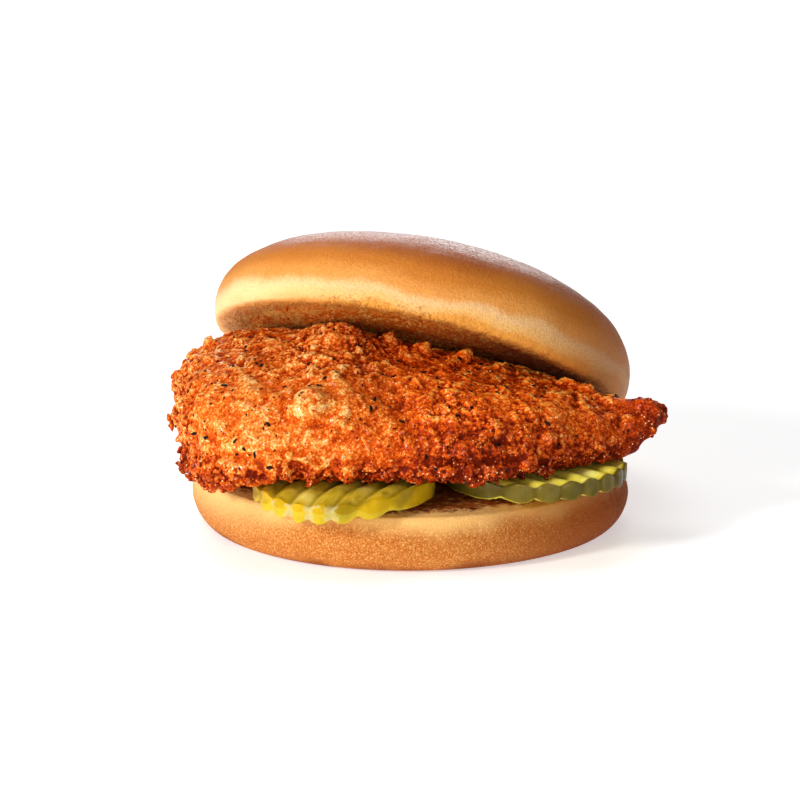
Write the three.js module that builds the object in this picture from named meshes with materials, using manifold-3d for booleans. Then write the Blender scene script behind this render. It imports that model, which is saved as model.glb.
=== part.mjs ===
// A fried chicken burger: a bottom bun, two crinkle-cut pickle slices on its toasted face, a craggy
// breaded chicken fillet across them, and a top bun that leans back on the fillet.
// Millimetres, +Z up. The origin is the centre of the bottom bun's flat base, and the front is -Y.
import * as THREE from 'three';
import { mergeVertices } from 'three/addons/utils/BufferGeometryUtils.js';
import Module from 'manifold-3d';

const wasm = await Module();
wasm.setup();

// Driving sizes
const bunRadius = 54;
const bottomBunHeight = 15.6;
const topBunThickness = 28;
const filletLength = 121;
const filletDepth = 88;
const filletThickness = 30;
const pickleRadius = 22;
const pickleThickness = 4;
const gap = 0.35; // clear space kept between pieces that touch

// The bottom bun's outline: a rounded foot, a bulging side and a soft shoulder round the cut face
const footInset = 6;
const footHeight = 8.5;
const shoulderInset = 5.5;
const shoulderDrop = 2.2;
const sideInset = 0.6; // how far the side has drawn in where the shoulder begins
const footSpread = 1.3; // how much fuller its foot is towards the right
const faceSink = 0.25; // how uneven the cut face is
const rearPress = 1.3; // how far the face is pressed down where the top bun's rear edge leans over it
const pressStart = 34;
const pressEnd = 52;
const bunSegments = 42;

// The top bun's outline, in its own frame: its cut face lies at height 0, its dome rises along +Z
const cutRadius = 51.2;
const lipHeight = 5.6;
const domeHeight = topBunThickness - lipHeight;
const domeRoundness = 2.3;
const cutHollow = 1.6; // how far the middle of the cut face is hollowed
const endDroop = 0.0004; // how much its left and right ends sag, per square millimetre
const domeSkew = 0.0012; // how much higher the dome is towards its right end, per millimetre

// Where the top bun leans: the centre of its cut face, and its two angles
const topBunCentre = new THREE.Vector3(2.5, 18.6, 34.9);
const leanBack = THREE.MathUtils.degToRad(25.4);
const leanRight = THREE.MathUtils.degToRad(12.4);
const topBunNormal = new THREE.Vector3(0, 0, 1).applyEuler(new THREE.Euler(-leanBack, leanRight, 0));

// The fillet's plan and crest. Its blunt end is on the left and its tail on the right.
const filletLeft = -57.8;
const filletFront = -53;
const filletBack = filletFront + filletDepth;
const crestY = -8;
const crestHeight = 20.5 + filletThickness;
const tailFront = -25;
const tailBack = -13;
const endPull = 12; // how far front and back are drawn in at the blunt end
const humpAt = 0.335; // where the crest is highest, as a share of the length
const humpRise = 4;
const tailDrop = 12.6; // how far the crest has sunk at the tail
const bluntDrop = 2.2; // the same at the blunt end
const underside = 19.3;
const undersideDrop = 5.5; // how far the blunt end hangs lower than the middle
const tailLift = 8.4; // how far the tail's underside rises
const filletRings = 55;
const filletSides = 48;
const frontShare = 0.56; // share of its sides that go to the front face
const backShare = 0.24; // the same for the back slope
const bluntShare = 0.11; // share of the length over which the blunt end rounds off
const bluntDent = 2.8; // how far the lower half of the blunt end is drawn in
const tailShare = 0.042; // share of the length over which the tail's tip rounds off
const overhangDrop = 3.5; // how far its corner may hang below the bun's cut face, clear of the bun

// Its breading: broad lumps, crags and single crumbs of coating fused on
const lumpSize = 17;
const lumpRise = 1.5;
const cragSize = 5.6;
const cragRise = 2.2;
const crumbCount = 52;
const crumbRadius = [1, 2.1];

// The pickle slices: where each lies, which way its ridges run, and how it bends past the bun's edge:
// down where the sag is above nought, up where it is below
const pickles = [
  { name: 'pickle_left', x: -15.4, y: -37.2, ridgeAngle: 62, stretch: 1.0, sag: 0.016 },
  { name: 'pickle_right', x: 30.4, y: -27.2, ridgeAngle: -55, stretch: 1.02, sag: -0.005 },
];
const ridgePitch = 5.3;
const ridgeHeight = 1.2;
const stepsPerRidge = 6;
const sagStart = 50; // distance from the bun's axis where an overhanging slice begins to bend

// Seeded noise, so that the food is uneven in the same way every time
function hash(ix, iy, iz, seed) {
  let h = Math.imul(ix, 374761393) ^ Math.imul(iy, 668265263);
  h ^= Math.imul(iz, 2147483647) ^ Math.imul(seed, 1274126177);
  h = Math.imul(h ^ (h >>> 13), 1103515245);
  h = Math.imul(h ^ (h >>> 15), 2246822519);
  return ((h ^ (h >>> 16)) >>> 0) / 4294967296;
}

function seededRandom(seed) {
  let count = 0;
  return () => hash(++count, 17, 91, seed);
}

const ease = (t) => t * t * (3 - 2 * t);
const clamp01 = (t) => Math.min(1, Math.max(0, t));
const fade = (from, to, value) => ease(clamp01((value - from) / (to - from)));

// Smooth noise from -1 to 1 whose lumps are about size across
function lumps(x, y, z, size, seed) {
  const [px, py, pz] = [x / size, y / size, z / size];
  const [ix, iy, iz] = [Math.floor(px), Math.floor(py), Math.floor(pz)];
  const [fx, fy, fz] = [ease(px - ix), ease(py - iy), ease(pz - iz)];
  let sum = 0;
  for (const [dx, wx] of [[0, 1 - fx], [1, fx]])
    for (const [dy, wy] of [[0, 1 - fy], [1, fy]])
      for (const [dz, wz] of [[0, 1 - fz], [1, fz]])
        sum += wx * wy * wz * hash(ix + dx, iy + dy, iz + dz, seed);
  return 2 * sum - 1;
}

// Rounded knobs on a jittered grid, from 0 between them to 1 on top of one
function knobs(x, y, z, size, seed) {
  const [px, py, pz] = [x / size, y / size, z / size];
  const [ix, iy, iz] = [Math.floor(px), Math.floor(py), Math.floor(pz)];
  let nearest = 9;
  for (let i = ix - 1; i <= ix + 1; i++)
    for (let j = iy - 1; j <= iy + 1; j++)
      for (let k = iz - 1; k <= iz + 1; k++) {
        const dx = i + hash(i, j, k, seed) - px;
        const dy = j + hash(i, j, k, seed + 1) - py;
        const dz = k + hash(i, j, k, seed + 2) - pz;
        nearest = Math.min(nearest, dx * dx + dy * dy + dz * dz);
      }
  return Math.max(0, 1 - 1.4 * nearest);
}

// Moves every vertex of a geometry by a rule, then merges the vertices that meet
function shaped(geometry, rule) {
  const position = geometry.getAttribute('position');
  const point = new THREE.Vector3();
  for (let i = 0; i < position.count; i++) {
    point.fromBufferAttribute(position, i);
    rule(point, i);
    position.setXYZ(i, point.x, point.y, point.z);
  }
  geometry.deleteAttribute('normal');
  geometry.deleteAttribute('uv');
  return mergeVertices(geometry, 1e-3);
}

function toSolid(geometry) {
  return new wasm.Manifold(new wasm.Mesh({
    numProp: 3,
    vertProperties: new Float32Array(geometry.getAttribute('position').array),
    triVerts: new Uint32Array(geometry.index.array),
  }));
}

function toGeometry(solid) {
  const mesh = solid.getMesh();
  const geometry = new THREE.BufferGeometry();
  geometry.setAttribute('position', new THREE.BufferAttribute(mesh.vertProperties, 3));
  geometry.setIndex(new THREE.BufferAttribute(mesh.triVerts, 1));
  geometry.computeVertexNormals();
  return geometry;
}

function largestBody(solid) {
  return solid.decompose().reduce((best, body) => (body.volume() > best.volume() ? body : best));
}

function foodMaterial(color, roughness) {
  return new THREE.MeshStandardMaterial({ color, roughness, metalness: 0 });
}

// Height of the plane of the top bun's cut face above a point of the plan
function cutPlaneHeight(x, y) {
  const { x: nx, y: ny, z: nz } = topBunNormal;
  return topBunCentre.z - (nx * (x - topBunCentre.x) + ny * (y - topBunCentre.y)) / nz;
}

// A closed lathe profile whose points run from the axis below, out and up, to the axis above
function revolve(profile) {
  const lathe = new THREE.LatheGeometry(profile.map(([r, z]) => new THREE.Vector2(r, z)), bunSegments);
  lathe.rotateX(Math.PI / 2);
  return lathe;
}

function bottomBunProfile() {
  const points = [[0, 0], [0.45 * bunRadius, 0]];
  const cornerSteps = 5;
  for (let i = 0; i <= cornerSteps; i++) {
    const angle = (i / cornerSteps) * (Math.PI / 2);
    points.push([bunRadius - footInset * (1 - Math.sin(angle)), footHeight * (1 - Math.cos(angle))]);
  }
  const shoulderSteps = 4;
  const shoulderBase = bottomBunHeight - shoulderDrop;
  for (let i = 0; i <= shoulderSteps; i++) {
    const angle = (i / shoulderSteps) * (Math.PI / 2);
    const inset = sideInset + (shoulderInset - sideInset) * (1 - Math.cos(angle));
    points.push([bunRadius - inset, shoulderBase + shoulderDrop * Math.sin(angle)]);
  }
  for (const share of [0.67, 0.33, 0]) points.push([share * bunRadius, bottomBunHeight]);
  return points;
}

function makeBottomBun() {
  const geometry = shaped(revolve(bottomBunProfile()), (p) => {
    const rise = p.z / bottomBunHeight;
    const swell = 1 + 0.006 * lumps(p.x, p.y, 0, 30, 3) * Math.min(1, 4 * rise);
    p.x *= swell;
    p.y *= swell;
    p.x += footSpread * fade(0.2 * bunRadius, bunRadius, p.x) * (1 - fade(0.35, 0.85, rise));
    const press = rearPress * fade(pressStart, pressEnd, p.y);
    const uneven = faceSink * (1 + lumps(p.x, p.y, 7, 12, 5)) * fade(0.8, 1, rise);
    if (rise > 0.5) p.z -= rise * (uneven + press);
  });
  const mesh = new THREE.Mesh(geometry, foodMaterial(0xd9924c, 0.7));
  mesh.name = 'bottom_bun';
  return mesh;
}

function topBunProfile() {
  const points = [[0, 0], [0.32 * bunRadius, 0], [0.63 * bunRadius, 0]];
  const lipSteps = 5;
  for (let i = 0; i <= lipSteps; i++) {
    const angle = (i / lipSteps) * (Math.PI / 2);
    points.push([cutRadius + (bunRadius - cutRadius) * Math.sin(angle), lipHeight * (1 - Math.cos(angle))]);
  }
  const domeSteps = 11;
  for (let i = 1; i <= domeSteps; i++) {
    const angle = (i / domeSteps) * (Math.PI / 2);
    const r = i === domeSteps ? 0 : bunRadius * Math.cos(angle) ** (2 / domeRoundness);
    points.push([r, lipHeight + domeHeight * Math.sin(angle) ** (2 / domeRoundness)]);
  }
  return points;
}

function makeTopBun() {
  const geometry = shaped(revolve(topBunProfile()), (p) => {
    const radius = Math.hypot(p.x, p.y);
    const above = p.z / topBunThickness;
    if (p.z > lipHeight) p.z += (p.z - lipHeight) * domeSkew * p.x;
    if (above < 0.01) p.z += cutHollow * (1 - fade(20, cutRadius, radius));
    p.z += 0.45 * lumps(p.x, p.y, p.z, 26, 11) * above;
    p.z -= endDroop * p.x * p.x;
    const swell = 1 + 0.007 * lumps(p.x, p.y, p.z, 34, 13);
    p.x *= swell;
    p.y *= swell;
  });
  const mesh = new THREE.Mesh(geometry, foodMaterial(0xc9792f, 0.45));
  mesh.name = 'top_bun';
  mesh.position.copy(topBunCentre);
  mesh.rotation.set(-leanBack, leanRight, 0);
  return mesh;
}

// Height of a ridged face: broad round ridges with narrow valleys between them
function ridge(s) {
  return ridgeHeight * (Math.abs(Math.cos((Math.PI * s) / ridgePitch)) - 1);
}

// A slab with parallel ridges on both faces, back to back, cut to a round slice with softened edges
function makePickle({ name, x, y, ridgeAngle, stretch, sag }) {
  const half = pickleRadius + 2;
  const steps = Math.ceil((2 * half) / ridgePitch) * stepsPerRidge;
  const top = pickleThickness + ridgeHeight;
  const outline = [];
  for (let i = 0; i <= steps; i++) {
    const s = (ridgePitch * (i - steps / 2)) / stepsPerRidge;
    outline.push(new THREE.Vector2(s, -ridge(s)));
  }
  for (let i = steps; i >= 0; i--) {
    const s = (ridgePitch * (i - steps / 2)) / stepsPerRidge;
    outline.push(new THREE.Vector2(s, top + ridge(s)));
  }
  const extent = { depth: 2 * half, steps: 4, bevelEnabled: false };
  const slab = new THREE.ExtrudeGeometry(new THREE.Shape(outline), extent);
  slab.translate(0, 0, -half);
  slab.rotateX(Math.PI / 2);

  // its rim, from below to above: how far it is drawn in, at shares of the height
  const rim = [[pickleRadius, -0.2], [1.0, -0.2], [0.4, 0.15], [0, 0.4], [0, 0.6], [0.4, 0.85], [1.0, 1.2],
    [pickleRadius, 1.2]];
  const edge = rim.map(([drawnIn, share]) => new THREE.Vector2(pickleRadius - drawnIn, share * top));
  const drum = new THREE.LatheGeometry(edge, 30);
  drum.rotateX(Math.PI / 2);
  const round = shaped(drum, (p) => {
    const swell = 1 + 0.025 * lumps(p.x, p.y, 0, 11, 23 + x);
    p.x *= swell;
    p.y *= swell * stretch;
  });
  const slice = toSolid(shaped(slab, () => {})).intersect(toSolid(round));

  const turn = THREE.MathUtils.degToRad(ridgeAngle - 90);
  const geometry = shaped(toGeometry(slice), (p) => {
    p.applyAxisAngle(new THREE.Vector3(0, 0, 1), turn);
    p.z -= sag * Math.max(0, Math.hypot(p.x + x, p.y + y) - sagStart) ** 2;
  });
  const mesh = new THREE.Mesh(geometry, foodMaterial(0x9a8a1f, 0.3));
  mesh.name = name;
  mesh.position.set(x, y, bottomBunHeight + gap);
  return mesh;
}

// The lowest that the fillet may reach above a point of the plan: over the pickles, or over the bun
function restHeight(x, y) {
  const beyondBun = fade(1.2, 6, Math.hypot(x, y) - bunRadius);
  const overBun = bottomBunHeight + gap - overhangDrop * beyondBun;
  const overPickle = bottomBunHeight + pickleThickness + ridgeHeight + 2 * gap;
  let height = overBun;
  for (const pickle of pickles) {
    const away = Math.hypot(x - pickle.x, y - pickle.y) - pickleRadius;
    height = Math.max(height, overPickle - (overPickle - overBun) * fade(4, 11, away));
  }
  return height;
}

// The fillet's cross-section at a share of its length: front, back, crest and underside
function filletSection(share) {
  const x = filletLeft + filletLength * share;
  const bluntEnd = Math.sqrt(1 - (1 - Math.min(1, share / bluntShare)) ** 2);
  const tip = Math.sqrt(Math.max(0, 1 - (1 - Math.min(1, (1 - share) / tailShare)) ** 2));
  const close = bluntEnd * tip;
  const atBlunt = 1 - fade(0, 0.2, share);
  const front = THREE.MathUtils.lerp(filletFront, tailFront, fade(0.58, 1, share)) + endPull * atBlunt;
  const back = THREE.MathUtils.lerp(filletBack, tailBack, fade(0.42, 0.97, share)) - endPull * atBlunt;
  const besideHump = humpRise * fade(0, 0.12, Math.abs(share - humpAt));
  const crest = crestHeight - besideHump - tailDrop * fade(0.33, 0.97, share) - bluntDrop * atBlunt;
  const bottom = underside - undersideDrop * (1 - fade(0, 0.25, share)) + tailLift * fade(0.84, 1, share);
  return { x, front, back, crest, bottom, close };
}

// A point of the fillet before its breading, at a share of its length and an angle round it
function filletPoint(share, angle) {
  const { x, front, back, crest, bottom, close } = filletSection(share);
  const centreY = THREE.MathUtils.lerp(crestY, (front + back) / 2, fade(0.5, 1, share));
  const waist = bottom + 0.34 * (crest - bottom);
  const [c, s] = [Math.cos(angle), Math.sin(angle)];
  const squareness = s > 0 ? 2.15 : 4;
  const across = Math.sign(c) * Math.abs(c) ** (2 / squareness);
  const up = Math.sign(s) * Math.abs(s) ** (2 / squareness);
  const y = centreY + close * across * (across < 0 ? centreY - front : back - centreY);
  const z = waist + close ** 0.6 * up * (s > 0 ? crest - waist : waist - bottom);
  const dent = bluntDent * (1 - fade(22, 36, z)) * (1 - fade(0, 0.12, share));
  return new THREE.Vector3(x + dent, y, z);
}

// How rough the coating is: calm on the broad front face, craggy along the edges and both ends
function roughness(p) {
  const lowEdge = 1 - fade(22, 30, p.z);
  const ends = Math.max(1 - fade(-58, -44, p.x), fade(30, 60, p.x));
  const crest = fade(38, 47, p.z);
  return Math.min(1, 0.5 + 0.5 * Math.max(lowEdge, 0.8 * ends, 0.6 * crest));
}

function breading(p) {
  const broad = lumpRise * lumps(p.x, p.y, p.z, lumpSize, 31);
  const crags = cragRise * (knobs(p.x, p.y, p.z, cragSize, 37) - 0.35);
  const fine = 0.5 * lumps(p.x, p.y, p.z, 2.6, 41);
  return broad + roughness(p) * crags + fine;
}

// Keeps a point of the fillet under the top bun's cut face and above what it rests on
function keepClear(p) {
  p.z = Math.min(p.z, cutPlaneHeight(p.x, p.y) - 0.1 - gap);
  p.z = Math.max(p.z, restHeight(p.x, p.y));
}

function makeFilletCore() {
  // most sides go to the front face, and few to the underside
  const angleAt = (u) => {
    if (u < frontShare) return Math.PI * (0.5 + (0.62 * u) / frontShare);
    if (u < 1 - backShare) return Math.PI * (1.12 + (0.88 * (u - frontShare)) / (1 - backShare - frontShare));
    return Math.PI * (2 + (0.5 * (u - 1 + backShare)) / backShare);
  };
  // rings crowd towards both ends, where the surface turns in
  const shareAt = (v) => (1 - Math.cos(Math.PI * v)) * 0.36 + v * 0.28;
  const sphere = new THREE.SphereGeometry(1, filletSides, filletRings);
  const uv = sphere.getAttribute('uv').clone();
  return shaped(sphere, (p, i) => {
    const share = shareAt(1 - uv.getY(i));
    const angle = angleAt(share > 0 && share < 1 ? 1 - (uv.getX(i) % 1) : 0);
    const step = 0.01;
    const here = filletPoint(share, angle);
    const before = filletPoint(Math.max(0, share - step), angle);
    const along = filletPoint(Math.min(1, share + step), angle).sub(before);
    const round = filletPoint(share, angle + step).sub(filletPoint(share, angle - step));
    const outward = round.cross(along);
    if (outward.lengthSq() < 1e-9) outward.set(share < 0.5 ? -1 : 1, 0, 0);
    p.copy(here).addScaledVector(outward.normalize(), breading(here));
    keepClear(p);
  });
}

// Single crumbs of coating, mostly along the lower edge, the crest and both ends
function crumbPlaces(core) {
  const random = seededRandom(53);
  const position = core.getAttribute('position');
  const centre = new THREE.Vector3(-4, -8, 32);
  const places = [];
  for (let tries = 0; places.length < crumbCount && tries < 60 * crumbCount; tries++) {
    const p = new THREE.Vector3().fromBufferAttribute(position, Math.floor(random() * position.count));
    const radius = THREE.MathUtils.lerp(...crumbRadius, random() ** 2);
    if (random() > roughness(p) ** 2) continue;
    const clearAbove = cutPlaneHeight(p.x, p.y) - p.z > 2 * radius + gap;
    const clearBelow = p.z - restHeight(p.x, p.y) > radius + gap;
    const apart = places.every((other) => other.at.distanceTo(p) > 2.2 * radius);
    if (!clearAbove || !clearBelow || !apart) continue;
    p.addScaledVector(p.clone().sub(centre).normalize(), 0.35 * radius);
    places.push({ at: p, radius, turn: random() * Math.PI });
  }
  return places;
}

// What the fillet is cut back from: a plain drum just over each pickle slice
function pickleDrums() {
  const top = bottomBunHeight + pickleThickness + ridgeHeight + 1.8 * gap;
  return pickles.map(({ x, y }) => {
    const drum = new THREE.CylinderGeometry(pickleRadius + 1, pickleRadius + 1, top, 24);
    drum.rotateX(Math.PI / 2);
    drum.translate(x, y, top / 2);
    return toSolid(shaped(drum, () => {}));
  });
}

function makeFillet() {
  const core = makeFilletCore();
  const crumbs = crumbPlaces(core).map(({ at, radius, turn }) => {
    const crumb = shaped(new THREE.IcosahedronGeometry(radius, 0), (p) => {
      p.applyAxisAngle(new THREE.Vector3(0.6, 0.8, 0), turn);
      p.multiplyScalar(1 + 0.3 * lumps(p.x + at.x, p.y + at.y, p.z, 1.5, 61)).add(at);
    });
    return toSolid(crumb);
  });
  const coated = wasm.Manifold.union([toSolid(core), ...crumbs]);
  const solid = largestBody(coated.subtract(wasm.Manifold.union(pickleDrums())));
  const mesh = new THREE.Mesh(toGeometry(solid), foodMaterial(0xc0561f, 0.5));
  mesh.name = 'chicken_fillet';
  return mesh;
}

const burger = new THREE.Group();
burger.add(makeBottomBun(), ...pickles.map(makePickle), makeFillet(), makeTopBun());

export default burger;
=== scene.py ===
import math

import bmesh
import bpy
import numpy as np
from mathutils import Matrix, Vector


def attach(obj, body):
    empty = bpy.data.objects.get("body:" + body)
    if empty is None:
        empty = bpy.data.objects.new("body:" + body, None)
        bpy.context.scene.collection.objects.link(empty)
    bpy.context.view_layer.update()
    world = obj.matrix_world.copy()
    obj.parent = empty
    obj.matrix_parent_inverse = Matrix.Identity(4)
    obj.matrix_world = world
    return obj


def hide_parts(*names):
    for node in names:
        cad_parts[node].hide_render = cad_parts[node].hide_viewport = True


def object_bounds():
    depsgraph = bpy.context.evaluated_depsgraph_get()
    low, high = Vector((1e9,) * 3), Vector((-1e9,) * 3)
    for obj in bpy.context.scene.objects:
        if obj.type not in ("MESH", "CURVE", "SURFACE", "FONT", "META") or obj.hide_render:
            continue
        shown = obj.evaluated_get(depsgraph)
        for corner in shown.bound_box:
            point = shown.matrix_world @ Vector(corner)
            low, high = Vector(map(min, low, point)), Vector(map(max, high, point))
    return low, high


# A fried chicken burger, dressed for a studio picture. Metres, the front is -Y, the floor is at Z = 0.
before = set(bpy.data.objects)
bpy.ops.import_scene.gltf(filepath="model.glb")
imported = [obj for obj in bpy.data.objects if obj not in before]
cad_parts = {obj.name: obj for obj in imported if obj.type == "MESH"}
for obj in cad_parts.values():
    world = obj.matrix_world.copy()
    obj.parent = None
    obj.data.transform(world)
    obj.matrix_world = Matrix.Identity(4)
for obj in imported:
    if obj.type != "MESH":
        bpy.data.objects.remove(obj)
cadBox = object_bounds()
mm = 0.001


# Colours are picked as 8-bit screen values and turned into the linear ones that shaders use
def screenColour(red, green, blue):
    def linear(value):
        value = value / 255
        return value / 12.92 if value <= 0.04045 else ((value + 0.055) / 1.055) ** 2.4
    return (linear(red), linear(green), linear(blue), 1)


def fade(start, end, value):
    share = min(1, max(0, (value - start) / (end - start)))
    return share * share * (3 - 2 * share)


def makeActive(piece):
    if bpy.context.object and bpy.context.object.mode != "OBJECT":
        bpy.ops.object.mode_set(mode="OBJECT")
    bpy.ops.object.select_all(action="DESELECT")
    piece.select_set(True)
    bpy.context.view_layer.objects.active = piece


# Adds a modifier with its settings and applies it at once
def applyModifier(piece, kind, **settings):
    makeActive(piece)
    modifier = piece.modifiers.new(kind.title(), kind)
    for setting, value in settings.items():
        setattr(modifier, setting, value)
    bpy.ops.object.modifier_apply(modifier=modifier.name)


def reliefTexture(kind, size, **settings):
    texture = bpy.data.textures.new(kind.title(), kind)
    texture.noise_scale = size
    for setting, value in settings.items():
        setattr(texture, setting, value)
    return texture


# Pushes the surface in and out along its normals by a texture of that grain, where the group says
def addRelief(piece, texture, height, middle=0.5, group=""):
    applyModifier(piece, "DISPLACE", texture=texture, strength=height, mid_level=middle,
                  texture_coords="LOCAL", direction="NORMAL", vertex_group=group)


def paintGroup(piece, groupName, rule):
    group = piece.vertex_groups.new(name=groupName)
    for vertex in piece.data.vertices:
        group.add([vertex.index], rule(vertex.co, vertex.normal), "REPLACE")


def moveVertices(piece, rule):
    for vertex in piece.data.vertices:
        vertex.co = rule(vertex.co.copy())
    piece.data.update()


def remeshEvenly(piece, grain, rounds=3):
    applyModifier(piece, "REMESH", mode="VOXEL", voxel_size=grain, adaptivity=0)
    if rounds:
        applyModifier(piece, "SMOOTH", factor=0.5, iterations=rounds)


# Faces chosen by a test are selected in edit mode, ready for an operator
def selectFaces(piece, test):
    makeActive(piece)
    bpy.ops.object.mode_set(mode="EDIT")
    bpy.ops.mesh.select_mode(type="FACE")
    bpy.ops.mesh.select_all(action="DESELECT")
    mesh = bmesh.from_edit_mesh(piece.data)
    for face in mesh.faces:
        if test(face):
            face.select_set(True)
    bmesh.update_edit_mesh(piece.data)


def finishPiece(piece, body, slot, material, *nodes):
    makeActive(piece)
    bpy.ops.object.shade_smooth()
    piece.data.materials.clear()
    piece.data.materials.append(material)
    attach(piece, body)
    if nodes:
        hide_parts(*nodes)
    piece.data.calc_loop_triangles()
    print(piece.name, len(piece.data.loop_triangles), "triangles")


# A round shape made like a pot: a disc whose top face is extruded and scaled from ring to ring
def turnedShape(name, outline, sides):
    radius, height = outline[0]
    bpy.ops.object.select_all(action="DESELECT")
    bpy.ops.mesh.primitive_circle_add(vertices=sides, radius=radius, fill_type="NGON",
                                      location=(0, 0, height))
    piece = bpy.context.object
    piece.name = name
    bpy.ops.object.transform_apply(location=True)
    bpy.ops.object.mode_set(mode="EDIT")
    bpy.ops.mesh.select_all(action="SELECT")
    for nextRadius, nextHeight in outline[1:]:
        bpy.ops.mesh.extrude_region_move(TRANSFORM_OT_translate={"value": (0, 0, nextHeight - height)})
        scale = nextRadius / radius
        bpy.ops.transform.resize(value=(scale, scale, 1))
        radius, height = nextRadius, nextHeight
    bpy.ops.mesh.select_all(action="SELECT")
    bpy.ops.mesh.normals_make_consistent(inside=False)
    bpy.ops.object.mode_set(mode="OBJECT")
    return piece


# Material building: a node with its inputs set or linked, on one line
def addNode(material, kind, inputs=None, **settings):
    tree = material.node_tree
    node = tree.nodes.new("ShaderNode" + kind)
    for setting, value in settings.items():
        setattr(node, setting, value)
    for name, value in (inputs or {}).items():
        if isinstance(value, bpy.types.NodeSocket):
            tree.links.new(value, node.inputs[name])
        else:
            node.inputs[name].default_value = value
    return node


def newMaterial(name):
    material = bpy.data.materials.new(name)
    material.use_nodes = True
    material.node_tree.nodes.clear()
    return material


def addNoise(material, place, size, detail=3, rough=0.5, distortion=0.0):
    noise = addNode(material, "TexNoise", {"Vector": place, "Scale": 1 / size, "Detail": detail,
                                           "Roughness": rough, "Distortion": distortion})
    return noise.outputs["Fac"]


def addCells(material, place, size):
    return addNode(material, "TexVoronoi", {"Vector": place, "Scale": 1 / size}).outputs["Distance"]


def addRange(material, value, start, end, low=0.0, high=1.0, smooth=True):
    kind = "SMOOTHSTEP" if smooth else "LINEAR"
    node = addNode(material, "MapRange", {"Value": value, "From Min": start, "From Max": end,
                                          "To Min": low, "To Max": high}, interpolation_type=kind)
    return node.outputs["Result"]


def addMath(material, operation, first, second):
    node = addNode(material, "Math", operation=operation)
    for socket, value in zip(node.inputs, (first, second)):
        if isinstance(value, bpy.types.NodeSocket):
            material.node_tree.links.new(value, socket)
        else:
            socket.default_value = value
    return node.outputs[0]


def times(material, first, second):
    return addMath(material, "MULTIPLY", first, second)


def plus(material, first, second):
    return addMath(material, "ADD", first, second)


def objectPlace(material):
    return addNode(material, "TexCoord").outputs["Object"]


def splitVector(material, vector):
    return addNode(material, "SeparateXYZ", {"Vector": vector}).outputs[:3]


# Moves, turns or stretches the place that a pattern is read at
def mapVector(material, vector, kind="POINT", **settings):
    inputs = {setting.title(): value for setting, value in settings.items()}
    return addNode(material, "Mapping", {"Vector": vector, **inputs}, vector_type=kind).outputs[0]


def axisDistance(material, across, along):
    flat = addNode(material, "CombineXYZ", {"X": across, "Y": along}).outputs[0]
    return addNode(material, "VectorMath", {0: flat}, operation="LENGTH").outputs["Value"]


def addMix(material, share, first, second, **settings):
    inputs = {"Fac": share, "Color1": first, "Color2": second}
    return addNode(material, "MixRGB", inputs, **settings).outputs[0]


def addRamp(material, value, stops):
    node = addNode(material, "ValToRGB", {"Fac": value})
    ramp = node.color_ramp
    ramp.interpolation = "EASE"
    while len(ramp.elements) < len(stops):
        ramp.elements.new(0.5)
    for element, (position, colour) in zip(ramp.elements, stops):
        element.position = position
    for element, (position, colour) in zip(ramp.elements, stops):
        element.color = colour
    return node.outputs["Color"]


def addBump(material, height, distance, strength=1.0, below=None):
    inputs = {"Height": height, "Distance": distance, "Strength": strength}
    if below is not None:
        inputs["Normal"] = below
    return addNode(material, "Bump", inputs).outputs["Normal"]


def addSurface(material, inputs):
    shader = addNode(material, "BsdfPrincipled", inputs)
    output = addNode(material, "OutputMaterial")
    material.node_tree.links.new(shader.outputs[0], output.inputs["Surface"])


# The camera stands where the photo was taken, and turns a pixel of the picture into a ray
camera = {
    "pictureSize": 800,       # pixels, both ways
    "focalPixels": 2775,
    "pitch": 13.5,            # degrees down
    "distance": 690 * mm,
    "aim": Vector((-2.04, 0, 29.5)) * mm,
}


def makeCamera(look):
    pitch = math.radians(look["pitch"])
    place = look["aim"] + look["distance"] * Vector((0, -math.cos(pitch), math.sin(pitch)))
    bpy.ops.object.camera_add(location=place, rotation=(math.pi / 2 - pitch, 0, 0))
    piece = bpy.context.object
    piece.data.sensor_width = 36
    piece.data.lens = 36 * look["focalPixels"] / look["pictureSize"]
    piece.data.clip_start = 0.05
    bpy.context.scene.camera = piece
    bpy.context.view_layer.update()
    return piece


cameraPiece = makeCamera(camera)
print("camera ready")


def pixelRay(across, down):
    half = camera["pictureSize"] / 2
    towards = Vector((across - half, half - down, -camera["focalPixels"])).normalized()
    return cameraPiece.matrix_world.translation.copy(), cameraPiece.matrix_world.to_3x3() @ towards


# Where the picture's ray through a pixel meets a piece, and which way the surface faces there
def pointSeenAt(piece, pixel):
    start, towards = pixelRay(*pixel)
    hit, place, normal, face = piece.ray_cast(start, towards)
    return (place, normal) if hit else (None, None)


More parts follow.
